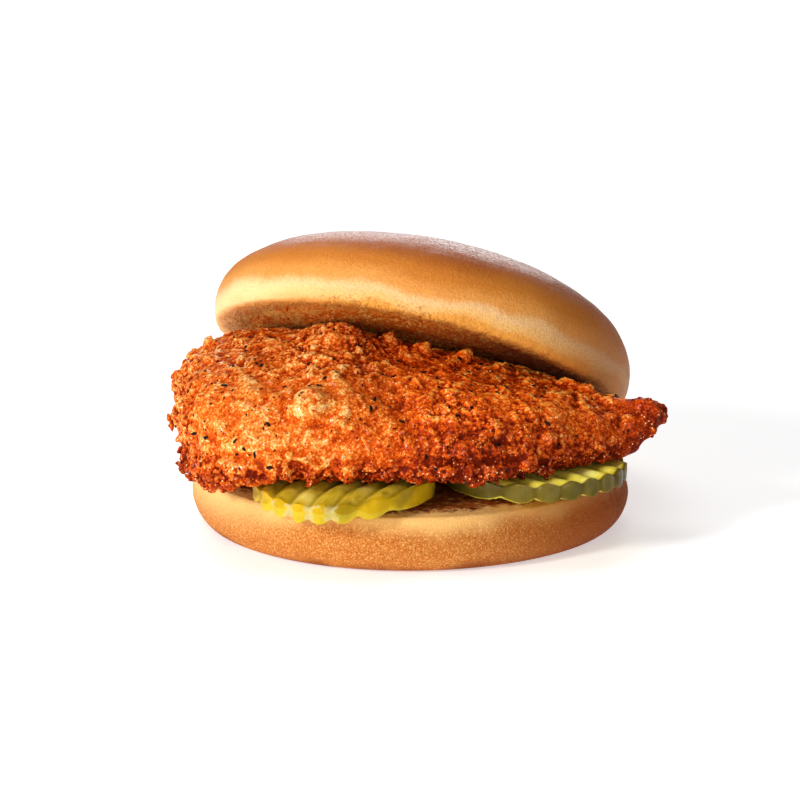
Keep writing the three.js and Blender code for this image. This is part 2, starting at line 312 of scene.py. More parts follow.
# Bottom bun
bottomBun = {
    "radius": 54 * mm,
    "height": 15.6 * mm,
    "footInset": 6 * mm,
    "footHeight": 8.5 * mm,
    "shoulderInset": 5.5 * mm,
    "shoulderDrop": 2.2 * mm,
    "footSpread": 1.3 * mm,   # how much fuller its foot is towards the right
    "pressed": 1.3 * mm,      # how far the top bun and the fillet press its back down
    "sunk": 0.25 * mm,        # how far all of its face lies below the rim
    "sides": 96,
    "grain": 0.62 * mm,       # edge length of the finished mesh
    "crumbDepth": 0.5 * mm,   # how rough the toasted face is
    "skinDepth": 0.22 * mm,
    "side": screenColour(192, 112, 44),
    "sidePale": screenColour(226, 168, 94),
    "sideDark": screenColour(168, 88, 30),
    # painted shade: darker brown for the right of the side
    "sideRightShade": screenColour(132, 50, 2),
    # painted light: lighter tone for the upper left of the side, where the key light falls
    "sideLeftLit": screenColour(250, 200, 126),
    "foot": screenColour(134, 60, 16),
    "shoulder": screenColour(255, 206, 126),
    "toast": screenColour(158, 76, 22),
    "toastDark": screenColour(88, 32, 8),
    "toastPale": screenColour(232, 176, 104),
    "shoulderBand": (9 * mm, 14.5 * mm),   # heights between which the pale shoulder comes in
    "footBand": (3.2 * mm, -0.8 * mm),
    "leftBand": (-22 * mm, -50 * mm),
    "rightShadeBand": (8 * mm, 50 * mm),
    # painted shade in the wrinkles as well as their bumps
    "wrinkleBand": (40 * mm, 50 * mm),     # wrinkles of the skin at the far right
    "toastEdge": (50.8 * mm, 48.2 * mm),   # distance from the axis
    "toastHeight": (12 * mm, 13 * mm),
}
breadScatter = (3 * mm, 1.4 * mm, 0.6 * mm)


def bottomBunOutline(look):
    outline = [(0.3 * look["radius"], 0)]
    footSteps = 8
    for step in range(footSteps + 1):
        turn = math.pi / 2 * step / footSteps
        outline.append((look["radius"] - look["footInset"] * (1 - math.sin(turn)),
                        look["footHeight"] * (1 - math.cos(turn))))
    shoulderSteps = 6
    for step in range(shoulderSteps + 1):
        turn = math.pi / 2 * step / shoulderSteps
        inset = 0.6 * mm + (look["shoulderInset"] - 0.6 * mm) * (1 - math.cos(turn))
        outline.append((look["radius"] - inset,
                        look["height"] - look["shoulderDrop"] * (1 - math.sin(turn))))
    outline.append((0.3 * look["radius"], look["height"]))
    return outline


def makeBottomBun(look):
    piece = turnedShape("bottomBunLook", bottomBunOutline(look), look["sides"])
    remeshEvenly(piece, look["grain"], 2)

    def pressDown(place):
        sunk = look["sunk"] + look["pressed"] * fade(34 * mm, 52 * mm, place.y)
        return place - Vector((0, 0, sunk * fade(0.9, 0.99, place.z / look["height"])))

    paintGroup(piece, "face", lambda place, normal: fade(0.6, 0.95, normal.z))
    paintGroup(piece, "skin", lambda place, normal: 1 - fade(0.5, 0.9, abs(normal.z)))
    moveVertices(piece, pressDown)

    def spreadFoot(place):
        low = 1 - fade(0.35, 0.85, place.z / look["height"])
        spread = look["footSpread"] * fade(0.2 * look["radius"], look["radius"], place.x) * low
        return place + Vector((spread, 0, 0))

    moveVertices(piece, spreadFoot)
    addRelief(piece, reliefTexture("CLOUDS", 12 * mm), 0.6 * mm, 1, "face")
    addRelief(piece, reliefTexture("CLOUDS", 1.6 * mm, noise_depth=3), look["crumbDepth"], 1, "face")
    addRelief(piece, reliefTexture("CLOUDS", 9 * mm), look["skinDepth"], 1, "skin")
    return piece


def makeBottomBunMaterial(look):
    material = newMaterial("bottomBunCrust")
    place = objectPlace(material)
    across, along, height = splitVector(material, place)
    radius = axisDistance(material, across, along)
    broad = addNoise(material, place, 14 * mm, 2)
    fine = addNoise(material, place, 1.6 * mm, 3, 0.6)
    specks = addNoise(material, place, 0.45 * mm, 2, 0.7)
    wavyHeight = plus(material, height, addRange(material, broad, 0.3, 0.7, -1.2 * mm, 1.2 * mm))
    side = addRamp(material, specks, [(0.32, look["sideDark"]), (0.5, look["side"]),
                                      (0.68, look["sidePale"])])
    # painted light: the upper left of the side is mixed towards a lighter tone
    leftHigh = times(material, addRange(material, across, *look["leftBand"]),
                     addRange(material, height, 4 * mm, 13 * mm, 0, 0.8))
    for share, colour in ((addRange(material, fine, 0.4, 0.7, 0, 0.18), "sidePale"),
                          (addRange(material, wavyHeight, *look["shoulderBand"], 0, 0.7), "shoulder"),
                          (leftHigh, "sideLeftLit"),
                          # painted shade: the right of the side is mixed towards a darker brown
                          (addRange(material, across, *look["rightShadeBand"], 0, 0.8), "sideRightShade"),
                          (addRange(material, wavyHeight, *look["footBand"]), "foot")):
        side = addMix(material, share, side, look[colour])
    toastSpots = addNoise(material, place, 2.2 * mm, 4, 0.7)
    toast = addRamp(material, toastSpots, [(0.28, look["toastDark"]), (0.5, look["toast"]),
                                           (0.72, look["toastPale"])])
    edge = plus(material, radius, addRange(material, toastSpots, 0.3, 0.7, -1.6 * mm, 1.6 * mm))
    onFace = times(material, addRange(material, edge, *look["toastEdge"]),
                   addRange(material, height, *look["toastHeight"]))
    colour = addMix(material, onFace, side, toast)
    upright = mapVector(material, place, scale=(1, 1, 0.12))
    wrinkles = times(material, addNoise(material, upright, 1.5 * mm, 2),
                     addRange(material, across, *look["wrinkleBand"]))
    # painted shade: the wrinkles at the far right are also coloured towards the dark foot tone
    colour = addMix(material, addRange(material, wrinkles, 0.46, 0.62, 0, 0.6), colour, look["foot"])
    bump = addBump(material, fine, 0.2 * mm, 0.6)
    bump = addBump(material, specks, 0.3 * mm, 0.9, bump)
    bump = addBump(material, wrinkles, 0.7 * mm, 0.8, bump)
    rough = addRange(material, fine, 0.3, 0.7, 0.62, 0.78)
    addSurface(material, {"Base Color": colour, "Roughness": rough, "Normal": bump,
                          "Specular IOR Level": 0.1, "Subsurface Weight": 0.12,
                          "Subsurface Radius": breadScatter, "Subsurface Scale": 1.0})
    return material


bottomBunPiece = makeBottomBun(bottomBun)
finishPiece(bottomBunPiece, "root", "bun", makeBottomBunMaterial(bottomBun), "bottom_bun")
print("bottom bun ready")


# Top bun, made flat and then leaned back on the fillet
topBun = {
    "radius": 54 * mm,
    "cutRadius": 51.2 * mm,
    "thickness": 28 * mm,
    "lipHeight": 5.6 * mm,
    "roundness": 2.3,
    "hollow": 1.6 * mm,       # how far the middle of the cut face is hollowed
    "droop": 0.4,             # sag of its left and right ends, times the distance squared
    "skew": 1.2,              # how much higher the dome is towards its right end, per metre
    "centre": Vector((2.5, 18.6, 34.9)) * mm,
    "leanBack": 25.4,
    "leanRight": 12.4,
    "sides": 112,
    "grain": 0.62 * mm,
    "crumbDepth": 0.9 * mm,
    "skinDepth": 0.3 * mm,
    "top": screenColour(150, 70, 18),
    "brown": screenColour(176, 88, 24),
    "amber": screenColour(208, 126, 46),
    "gold": screenColour(228, 154, 74),
    "cream": screenColour(240, 192, 132),
    "lip": screenColour(242, 188, 112),
    "rim": screenColour(234, 160, 68),
    "rightShade": screenColour(150, 72, 14),
    "leftLight": screenColour(255, 228, 170),
    "toast": screenColour(228, 114, 8),
    "toastDark": screenColour(156, 50, 0),
    "toastPale": screenColour(255, 204, 104),
    "toastShade": screenColour(74, 20, 4),
    "toastSpeck": screenColour(255, 208, 112),
    "wave": 1.2 * mm,         # how far the bands of the crust wander up and down
    "rightRise": 2.4 * mm,    # how much higher they are at the right end
    "leftBand": (-14 * mm, -48 * mm),
    "rightShadeBand": (18 * mm, 54 * mm),
    "toastShadeBand": (-10 * mm, 30 * mm),
    "toastEdge": (52.4 * mm, 45.5 * mm),   # distance from the axis
    "toastHeight": (2.6 * mm, 1.2 * mm),
    "toastRagged": 3.2 * mm,
    "sheenBand": (12 * mm, 20 * mm),
}


def topBunOutline(look):
    outline = [(0.3 * look["radius"], 0)]
    lipSteps = 7
    for step in range(lipSteps + 1):
        turn = math.pi / 2 * step / lipSteps
        outline.append((look["cutRadius"] + (look["radius"] - look["cutRadius"]) * math.sin(turn),
                        look["lipHeight"] * (1 - math.cos(turn))))
    domeSteps = 18
    power = 2 / look["roundness"]
    for step in range(1, domeSteps):
        turn = math.pi / 2 * step / domeSteps
        rise = (look["thickness"] - look["lipHeight"]) * math.sin(turn) ** power
        outline.append((look["radius"] * math.cos(turn) ** power, look["lipHeight"] + rise))
    outline.append((0.5 * mm, look["thickness"]))
    return outline


def topBunPose(look):
    back = Matrix.Rotation(math.radians(-look["leanBack"]), 4, "X")
    right = Matrix.Rotation(math.radians(look["leanRight"]), 4, "Y")
    return Matrix.Translation(look["centre"]) @ back @ right


def makeTopBun(look):
    piece = turnedShape("topBunLook", topBunOutline(look), look["sides"])
    remeshEvenly(piece, look["grain"], 2)

    def settle(place):
        radius = math.hypot(place.x, place.y)
        lowShare = 1 - fade(0, 4 * mm, place.z)
        hollow = look["hollow"] * (1 - fade(20 * mm, look["cutRadius"], radius)) * lowShare
        skew = max(0, place.z - look["lipHeight"]) * look["skew"] * place.x
        return place + Vector((0, 0, hollow + skew - look["droop"] * place.x ** 2))

    paintGroup(piece, "face", lambda place, normal: fade(0.55, 0.9, -normal.z))
    paintGroup(piece, "skin", lambda place, normal: 1 - fade(0.2, 0.6, -normal.z))
    moveVertices(piece, settle)
    addRelief(piece, reliefTexture("CLOUDS", 1.7 * mm, noise_depth=3), look["crumbDepth"], 0, "face")
    addRelief(piece, reliefTexture("CLOUDS", 14 * mm), 2 * look["skinDepth"], 1, "skin")
    addRelief(piece, reliefTexture("CLOUDS", 3.5 * mm), 0.3 * look["skinDepth"], 1, "skin")
    piece.data.transform(topBunPose(look))
    return piece


def makeTopBunMaterial(look):
    material = newMaterial("topBunCrust")
    pose = topBunPose(look)
    place = mapVector(material, objectPlace(material), "TEXTURE", location=pose.translation,
                      rotation=pose.to_euler("XYZ"))
    across, along, upwards = splitVector(material, place)
    height = plus(material, upwards, times(material, times(material, across, across), look["droop"]))
    radius = axisDistance(material, across, along)
    broad = addNoise(material, place, 16 * mm, 2)
    fine = addNoise(material, place, 1.0 * mm, 4, 0.6)
    pores = addNoise(material, place, 0.6 * mm, 2, 0.75)
    wavy = plus(material, height, addRange(material, broad, 0.25, 0.75, -look["wave"], look["wave"]))
    wavy = plus(material, wavy, addRange(material, fine, 0.3, 0.7, -0.3 * mm, 0.3 * mm))
    rightRise = addRange(material, across, 0, 54 * mm, 0, look["rightRise"], smooth=False)
    wavy = addMath(material, "SUBTRACT", wavy, rightRise)
    share = addRange(material, wavy, 0, look["thickness"], 0, 1, smooth=False)
    crust = addRamp(material, share, [(0.0, look["rim"]), (0.07, look["lip"]), (0.13, look["cream"]),
                                      (0.22, look["gold"]), (0.38, look["amber"]), (0.62, look["brown"]),
                                      (0.95, look["top"])])
    rightShade = addRange(material, across, *look["rightShadeBand"], 0, 0.6)
    crust = addMix(material, rightShade, crust, look["rightShade"])
    crust = addMix(material, addRange(material, pores, 0.35, 0.6, 0.22, 0), crust, look["top"])
    leftwards = addRange(material, across, *look["leftBand"])
    drawnOut = mapVector(material, place, scale=(1, 0.35, 1))
    spots = addNoise(material, drawnOut, 1.0 * mm, 4, 0.8)
    patches = addRange(material, addNoise(material, drawnOut, 3.2 * mm, 3, 0.6), 0.4, 0.6, 0.04, 0.3)
    lit = plus(material, spots, times(material, leftwards, patches))
    toast = addRamp(material, lit, [(0.3, look["toastDark"]), (0.48, look["toast"]),
                                    (0.7, look["toastPale"])])
    tips = times(material, addRange(material, addCells(material, drawnOut, 1.1 * mm), 0.42, 0.24),
                 addRange(material, spots, 0.42, 0.5))
    toast = addMix(material, times(material, tips, 0.9), toast, look["toastSpeck"])
    toastShade = addRange(material, across, *look["toastShadeBand"], 0, 0.92)
    toast = addMix(material, toastShade, toast, look["toastShade"])
    ragged = addRange(material, spots, 0.3, 0.7, -look["toastRagged"], look["toastRagged"])
    ragged = times(material, ragged, addRange(material, across, 0, 30 * mm, 1, 0.4))
    edge = plus(material, plus(material, radius, ragged), times(material, leftwards, 3 * mm))
    onFace = times(material, addRange(material, edge, *look["toastEdge"]),
                   addRange(material, height, *look["toastHeight"]))
    lowLight = times(material, leftwards, addRange(material, wavy, 6 * mm, 2 * mm))
    lowLight = times(material, lowLight, addRange(material, height, -0.8 * mm, 0.4 * mm))
    crust = addMix(material, times(material, lowLight, 0.6), crust, look["leftLight"])
    colour = addMix(material, onFace, crust, toast)
    bump = addBump(material, fine, 0.2 * mm, 0.5)
    bump = addBump(material, pores, 0.32 * mm, 1.0, bump)
    bump = addBump(material, times(material, spots, onFace), 1.4 * mm, 1.0, bump)
    rough = addRange(material, onFace, 0, 1, 0.45, 0.9)
    sheen = times(material, addRange(material, pores, 0.44, 0.56, 0, 0.7),
                  addRange(material, wavy, *look["sheenBand"]))
    addSurface(material, {"Base Color": colour, "Roughness": rough, "Normal": bump,
                          "Specular IOR Level": 0.12, "Coat Weight": sheen, "Coat Roughness": 0.32,
                          "Subsurface Weight": 0.1, "Subsurface Radius": breadScatter,
                          "Subsurface Scale": 1.0})
    return material


topBunPiece = makeTopBun(topBun)
finishPiece(topBunPiece, "root", "bun", makeTopBunMaterial(topBun), "top_bun")
cutFaceNormal = topBunPose(topBun).to_3x3() @ Vector((0, 0, 1))
print("top bun ready")


# Pickle slices: a disc cut across into strips, whose lines are raised and lowered into ridges
pickle = {
    "radius": 22 * mm,
    "thickness": 4 * mm,
    "ridgePitch": 5.3 * mm,
    "ridgeHeight": 1.2 * mm,
    "restHeight": 15.95 * mm,  # underside of a slice, on the bottom bun's face
    "sagStart": 50 * mm,      # distance from the bun's axis where an overhanging slice begins to bend
    "stepsPerRidge": 10,
    "sides": 72,
    "grain": 0.36 * mm,
    "lobeDepth": 0.35 * mm,   # how far the rim is drawn in between two ridges
    # painted glow along the lower edge of the skin
    "rimGlowLine": screenColour(216, 206, 70),
    "film": screenColour(196, 190, 146),
    "filmPixel": (306, 508),  # the patch of pale skin on the left slice
    "filmReach": 13 * mm,
    "slices": {
        "pickleLeftLook": {
            "node": "pickle_left", "x": -15.4 * mm, "y": -37.2 * mm, "turn": 62, "stretch": 1.0, "sag": 16,
            "film": 0.45, "line": 0.3,
            "skin": screenColour(200, 160, 0), "skinDark": screenColour(150, 120, 0),
            "flesh": screenColour(208, 178, 40), "fleshPale": screenColour(234, 210, 98),
            "fleshDarkAndValleyShade": screenColour(146, 118, 12),
        },
        "pickleRightLook": {
            "node": "pickle_right", "x": 30.4 * mm, "y": -27.2 * mm, "turn": -55, "stretch": 1.02, "sag": -5,
            "film": 0.0, "line": 0.9,
            # painted light and shade: the right slice's flesh is lighter than the left slice's against the
            # fillet's shadow over it, and its skin darker, as painted shade
            "skin": screenColour(76, 54, 0), "skinDark": screenColour(50, 34, 0),
            "flesh": screenColour(238, 222, 76), "fleshPale": screenColour(250, 240, 140),
            "fleshDarkAndValleyShade": screenColour(196, 172, 44),
        },
    },
}


def makePickle(name, look, slice):
    deep = look["thickness"] + look["ridgeHeight"]
    bpy.ops.object.select_all(action="DESELECT")
    bpy.ops.mesh.primitive_cylinder_add(vertices=look["sides"], radius=look["radius"], depth=deep,
                                        end_fill_type="NGON", location=(0, 0, deep / 2))
    piece = bpy.context.object
    piece.name = name
    bpy.ops.object.transform_apply(location=True)
    bpy.ops.object.mode_set(mode="EDIT")
    step = look["ridgePitch"] / look["stepsPerRidge"]
    lines = int(look["radius"] / step)
    for line in range(-lines, lines + 1):
        bpy.ops.mesh.select_all(action="SELECT")
        bpy.ops.mesh.bisect(plane_co=(0, line * step, 0), plane_no=(0, 1, 0))
    bpy.ops.mesh.select_mode(type="VERT")
    mesh = bmesh.from_edit_mesh(piece.data)
    for line in range(-lines - 1, lines + 2):
        wave = look["ridgeHeight"] * (abs(math.cos(math.pi * line / look["stepsPerRidge"])) - 1)
        for top in (True, False):
            bpy.ops.mesh.select_all(action="DESELECT")
            for vertex in mesh.verts:
                onLine = round(vertex.co.y / step) == line
                if onLine and (vertex.co.z > deep / 2) == top:
                    vertex.select_set(True)
            bmesh.update_edit_mesh(piece.data)
            if any(vertex.select for vertex in mesh.verts):
                bpy.ops.transform.translate(value=(0, 0, wave if top else -wave))
                mesh = bmesh.from_edit_mesh(piece.data)
    bpy.ops.object.mode_set(mode="OBJECT")
    remeshEvenly(piece, look["grain"], 4)

    def scallop(place):
        radius = math.hypot(place.x, place.y)
        valley = 1 - abs(math.cos(math.pi * place.y / look["ridgePitch"]))
        drawnIn = look["lobeDepth"] * valley * fade(look["radius"] - 3 * mm, look["radius"], radius)
        scale = 1 - drawnIn / max(radius, 1 * mm)
        return Vector((place.x * scale, place.y * scale, place.z))

    moveVertices(piece, scallop)
    turn = Matrix.Rotation(math.radians(slice["turn"]), 4, "Z")
    place = Matrix.Translation((slice["x"], slice["y"], look["restHeight"]))
    piece.data.transform(Matrix.Diagonal((slice["stretch"], 1, 1, 1)))
    addRelief(piece, reliefTexture("CLOUDS", 8 * mm), 0.7 * mm, 0.8)
    addRelief(piece, reliefTexture("CLOUDS", 2.2 * mm), 0.16 * mm, 0.8)
    piece.data.transform(place @ turn)

    def sag(place):
        beyond = max(0, math.hypot(place.x, place.y) - look["sagStart"])
        return place - Vector((0, 0, slice["sag"] * beyond ** 2))

    moveVertices(piece, sag)
    return piece


def makePickleMaterial(name, piece, look, slice):
    material = newMaterial(name)
    world = objectPlace(material)
    place = mapVector(material, world, "TEXTURE", location=(slice["x"], slice["y"], look["restHeight"]),
                      rotation=(0, 0, math.radians(slice["turn"])))
    across, along, height = splitVector(material, place)
    radius = axisDistance(material, across, along)
    broad = addNoise(material, place, 7 * mm, 3)
    streaks = addNoise(material, mapVector(material, place, scale=(1, 5, 1)), 3 * mm, 3)
    fine = addNoise(material, place, 0.7 * mm, 3, 0.6)
    flesh = addRamp(material, broad, [(0.3, slice["fleshDarkAndValleyShade"]), (0.52, slice["flesh"]),
                                      (0.75, slice["fleshPale"])])
    flesh = addMix(material, addRange(material, streaks, 0.45, 0.7, 0, 0.35), flesh, slice["fleshPale"])
    turned = times(material, along, math.pi / look["ridgePitch"])
    ridge = addMath(material, "ABSOLUTE", addMath(material, "COSINE", turned, 0), 0)
    valley = addMath(material, "SUBTRACT", 1, ridge)
    # painted shade: the valleys between the ridges are mixed towards the dark flesh tone
    flesh = addMix(material, addRange(material, valley, 0.45, 0.95, 0, 0.65), flesh, slice["fleshDarkAndValleyShade"])
    rim = addRange(material, radius, look["radius"] - 1.6 * mm, look["radius"] - 0.5 * mm, 0, 0.9)
    mottled = addRange(material, addNoise(material, place, 6 * mm, 2), 0.36, 0.6)
    colour = addMix(material, rim, flesh, addMix(material, mottled, slice["skinDark"], slice["skin"]))
    # painted glow: a bright line along the lower edge of the skin, set by each slice's line share
    overUnderside = addMath(material, "SUBTRACT", height, times(material, valley, look["ridgeHeight"]))
    line = addRange(material, overUnderside, 0.7 * mm, 0.4 * mm, 0, slice["line"])
    colour = addMix(material, times(material, rim, line), colour, look["rimGlowLine"])
    film = 0.0
    if slice["film"]:
        middle = pointSeenAt(piece, look["filmPixel"])[0]
        away = addNode(material, "VectorMath", {0: world, 1: middle}, operation="DISTANCE").outputs["Value"]
        fading = addRange(material, away, 0.5 * look["filmReach"], look["filmReach"], 0, -0.3)
        torn = plus(material, addNoise(material, place, 2.6 * mm, 3, 0.55, 0.8), fading)
        torn = plus(material, torn, addRange(material, valley, 0, 0.7, -0.1, 0.12))
        film = times(material, addRange(material, torn, 0.48, 0.6, 0, slice["film"]), rim)
        colour = addMix(material, film, colour, look["film"])
    bump = addBump(material, streaks, 0.25 * mm, 0.4)
    bump = addBump(material, fine, 0.1 * mm, 0.5, bump)
    rough = addRange(material, broad, 0.35, 0.65, 0.28, 0.4)
    wet = addRange(material, addNoise(material, place, 3 * mm, 2), 0.5, 0.6, 0, 0.5)
    wet = times(material, wet, addRange(material, height, 2.6 * mm, 4.4 * mm))
    addSurface(material, {"Base Color": colour, "Roughness": rough, "Normal": bump,
                          "Specular IOR Level": 0.08, "Subsurface Weight": 0.35,
                          "Subsurface Radius": (5 * mm, 3.6 * mm, 0.4 * mm), "Subsurface Scale": 0.5,
                          "Coat Weight": plus(material, film, wet), "Coat Roughness": 0.08})
    return material


for sliceName, slice in pickle["slices"].items():
    slicePiece = makePickle(sliceName, pickle, slice)
    sliceMaterial = makePickleMaterial(sliceName + "Flesh", slicePiece, pickle, slice)
    finishPiece(slicePiece, "root", "pickle", sliceMaterial, slice["node"])
print("pickles ready")


# Chicken fillet: the CAD solid with the lumps and folds that the photo shows, made even and smooth, and
# then given its knobbly coating. A lump is named by its pixel, its half sizes and how far it stands out.
fillet = {
    "grain": 0.76 * mm,
    "craggySize": 4.6 * mm,
    "craggyHeight": 2.4 * mm,
    "knobSize": 2.5 * mm,
    "knobHeight": 1.3 * mm,
    "grainSize": 1.15 * mm,
    "grainHeight": 0.65 * mm,
    "softHeight": 1.2 * mm,
    "calm": 0.11,             # share of the relief left on the calm front face
    "clearance": 0.2 * mm,    # kept under the top bun's cut face
    "creaseRounds": 14,       # smoothing rounds that tell creases from knobs
    "lumps": [
        {"pixel": (337, 340), "half": (4.0, 3.6, 3), "rise": 1.6, "calm": 0.6},
        {"pixel": (322, 403), "half": (6.2, 5.6, 6), "rise": 0.2, "calm": 0.5},
        {"pixel": (313, 357), "half": (6.0, 1.8, 2.4), "rise": 0.9, "calm": 0.2},
        {"pixel": (210, 360), "half": (3.0, 2.2, 2.4), "rise": 1.3},
        {"pixel": (246, 360), "half": (2.8, 1.8, 2), "rise": 0.9, "calm": 0.3},
        {"pixel": (275, 444), "half": (3.4, 2.4, 2), "rise": 0.9, "calm": 0.1},
        {"pixel": (391, 340), "half": (3.4, 2.2, 2.6), "rise": 2.0, "calm": 0.1},
        {"pixel": (421, 350), "half": (3.6, 2.4, 2.8), "rise": 2.1, "calm": 0.1},
        {"pixel": (463, 357), "half": (2.6, 2.0, 2.6), "rise": 2.1},
        {"pixel": (498, 368), "half": (2.8, 2.0, 2.6), "rise": 1.9},
        {"pixel": (426, 419), "half": (2.7, 2.2, 2), "rise": 1.2},
        {"pixel": (452, 421), "half": (2.0, 2.0, 2), "rise": 1.0},
        {"pixel": (472, 405), "half": (2.4, 1.8, 2), "rise": 0.9},
        {"pixel": (497, 430), "half": (2.6, 2.2, 2), "rise": 1.0},
        {"pixel": (362, 425), "half": (3.0, 2.4, 2), "rise": 0.7},
        {"pixel": (368, 452), "half": (3.2, 2.2, 2), "rise": 0.8},
        {"pixel": (205, 470), "half": (5.2, 2.8, 3), "rise": 1.4},
        {"pixel": (238, 470), "half": (4.2, 2.6, 3), "rise": 1.1},
        {"pixel": (305, 462), "half": (4.0, 2.2, 2.6), "rise": 1.0},
        {"pixel": (350, 474), "half": (2.6, 2.2, 2.4), "rise": 1.6},
        {"pixel": (384, 477), "half": (3.4, 2.0, 2.4), "rise": 1.5},
        {"pixel": (446, 472), "half": (3.0, 2.0, 2.2), "rise": 1.5},
        {"pixel": (532, 462), "half": (3.0, 1.8, 2.2), "rise": 1.4},
        {"pixel": (549, 437), "half": (2.2, 1.9, 2), "rise": 1.1},
        {"pixel": (566, 384), "half": (2.8, 2.0, 2.4), "rise": 1.9},
        {"pixel": (587, 390), "half": (3.0, 2.0, 2.4), "rise": 1.7},
        {"pixel": (592, 414), "half": (2.4, 2.8, 2), "rise": 0.9, "calm": 0.2},
        {"pixel": (608, 400), "half": (2.2, 2.0, 2), "rise": 1.0, "calm": 0.2},
        {"pixel": (642, 404), "half": (4.6, 2.6, 3), "rise": 1.3, "calm": 0.4},
        {"pixel": (662, 412), "half": (2.0, 2.6, 2), "rise": 0.6, "calm": 0.4},
        {"pixel": (598, 444), "half": (3.2, 2.4, 2), "rise": 1.0},
    ],
    # Folds along a line of pixels: half width and height, below nought for a crease
    "folds": [
        {"line": [(302, 421), (299, 409), (302, 397), (309, 387), (320, 381), (334, 379)],
         "width": 3.0, "height": 0.2, "pale": 0.04},
        {"line": [(294, 418), (292, 404), (297, 390), (306, 380), (318, 373), (330, 372)],
         "width": 1.3, "height": -0.5},
        {"line": [(333, 377), (342, 369), (352, 364), (356, 371)], "width": 1.4, "height": 0.5, "pale": 0.1},
        {"line": [(315, 402), (324, 401), (328, 406)], "width": 1.1, "height": -0.3, "pale": -0.12},
        {"line": [(312, 412), (322, 407), (333, 402)], "width": 1.6, "height": 0.3, "pale": 0.06},
        {"line": [(346, 402), (346, 412), (344, 423)], "width": 1.6, "height": 0.3, "pale": 0.06},
        {"line": [(351, 402), (352, 412), (349, 422)], "width": 1.2, "height": -0.4},
        {"line": [(306, 430), (314, 427), (324, 424), (338, 427)], "width": 1.3, "height": -0.3},
        {"line": [(345, 332), (353, 345), (360, 352)], "width": 1.0, "height": 1.0},
        {"line": [(361, 340), (364, 352)], "width": 1.6, "height": -1.2},
        {"line": [(186, 455), (208, 460), (224, 454), (245, 457), (262, 463)],
         "width": 1.4, "height": -0.5},
        {"line": [(288, 455), (303, 460), (318, 469)], "width": 1.0, "height": 0.6, "pale": 0.0},
        {"line": [(292, 465), (306, 471)], "width": 1.2, "height": -0.9},
        {"line": [(236, 365), (246, 355), (256, 355)], "width": 0.9, "height": 0.8},
        {"line": [(398, 385), (410, 378), (420, 386)], "width": 1.0, "height": 0.8},
        {"line": [(462, 404), (470, 409), (477, 402)], "width": 0.9, "height": -0.9},
        {"line": [(430, 462), (470, 464), (520, 458), (545, 462)], "width": 1.3, "height": -0.8},
        {"line": [(575, 392), (578, 405)], "width": 1.2, "height": -0.8},
    ],
    "calmPlaces": [((226, 405), 11), ((262, 400), 8), ((350, 385), 6), ((566, 415), 7), ((400, 375), 5),
                   ((490, 400), 6), ((280, 345), 5), ((640, 425), 9), ((600, 425), 5)],
    "deep": screenColour(102, 22, 2),
    "brown": screenColour(162, 50, 6),
    "orange": screenColour(212, 84, 8),
    "bright": screenColour(236, 142, 54),
    "tan": screenColour(255, 204, 130),
    # painted glints: pale dots on the coating
    "paintedGlint": screenColour(255, 212, 144),
    "upperRightLightTint": (1.4, 1.45, 1.3, 1),
    "upperRightLightAcross": (-12 * mm, 10 * mm),     # where painted light brightens the top of the coating
    "upperRightLightHeight": (31 * mm, 37 * mm),
    # Painted shade and painted light on the coating along an axis, all the way from the first place to the
    # second
    "paintedShading": [
        # painted shade underneath
        {"axis": "Z", "reach": (30 * mm, 19 * mm), "change": -0.3},
        # painted shade towards the right, away from the key light
        {"axis": "X", "reach": (-20 * mm, 8 * mm), "change": -0.27},
        # painted shade on the tail
        {"axis": "X", "reach": (50 * mm, 57 * mm), "change": -0.32},
        # painted light towards the right
        {"axis": "X", "reach": (12 * mm, 32 * mm), "change": 0.08},
    ],
}


def copyNode(nodeName, pieceName):
    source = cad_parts[nodeName]
    piece = source.copy()
    piece.data = source.data.copy()
    piece.name = pieceName
    piece.parent = None
    for key in list(piece.keys()):
        del piece[key]
    bpy.context.scene.collection.objects.link(piece)
    makeActive(piece)
    bpy.ops.object.mode_set(mode="EDIT")
    bpy.ops.mesh.select_all(action="SELECT")
    bpy.ops.mesh.remove_doubles(threshold=0.00001)
    bpy.ops.object.mode_set(mode="OBJECT")
    return piece


# A frame that stands on the surface: its Z along the normal, its X level
def standingFrame(place, normal, spin=0.0):
    across = Vector((0, 0, 1)).cross(normal)
    if across.length < 0.01:
        across = Vector((1, 0, 0))
    across.normalize()
    up = normal.cross(across)
    turned = Matrix((across, up, normal)).transposed().to_4x4()
    return Matrix.Translation(place) @ turned @ Matrix.Rotation(spin, 4, "Z")


# Reads one thing about every point, edge or face of a mesh, a row for each
def readRows(parts, what, width, kind=np.float32):
    values = np.empty(len(parts) * width, kind)
    parts.foreach_get(what, values)
    return values.reshape(-1, width)


def readPoints(piece, what="co"):
    return readRows(piece.data.vertices, what, 3)


def keepValues(piece, valueName, values):
    kept = piece.data.attributes.new(valueName, "FLOAT", "POINT")
    kept.data.foreach_set("value", np.asarray(values, np.float32))


# How far every point lies below the average of the surface around it
def creaseDepth(piece, rounds):
    points = readPoints(piece).astype(float)
    first, second = readRows(piece.data.edges, "vertices", 2, np.int32).T
    total = len(points)
    neighbours = np.bincount(first, minlength=total) + np.bincount(second, minlength=total)
    smooth = points.copy()
    for turn in range(rounds):
        for axis in range(3):
            values = smooth[:, axis].copy()
            sums = np.bincount(first, values[second], total) + np.bincount(second, values[first], total)
            smooth[:, axis] = 0.5 * (values + sums / neighbours)
    lengths = np.linalg.norm(points[first] - points[second], axis=1)
    spacing = (np.bincount(first, lengths, total) + np.bincount(second, lengths, total)) / neighbours
    depth = ((smooth - points) * readPoints(piece, "normal")).sum(1)
    return depth * np.minimum(1, np.median(spacing) / spacing)


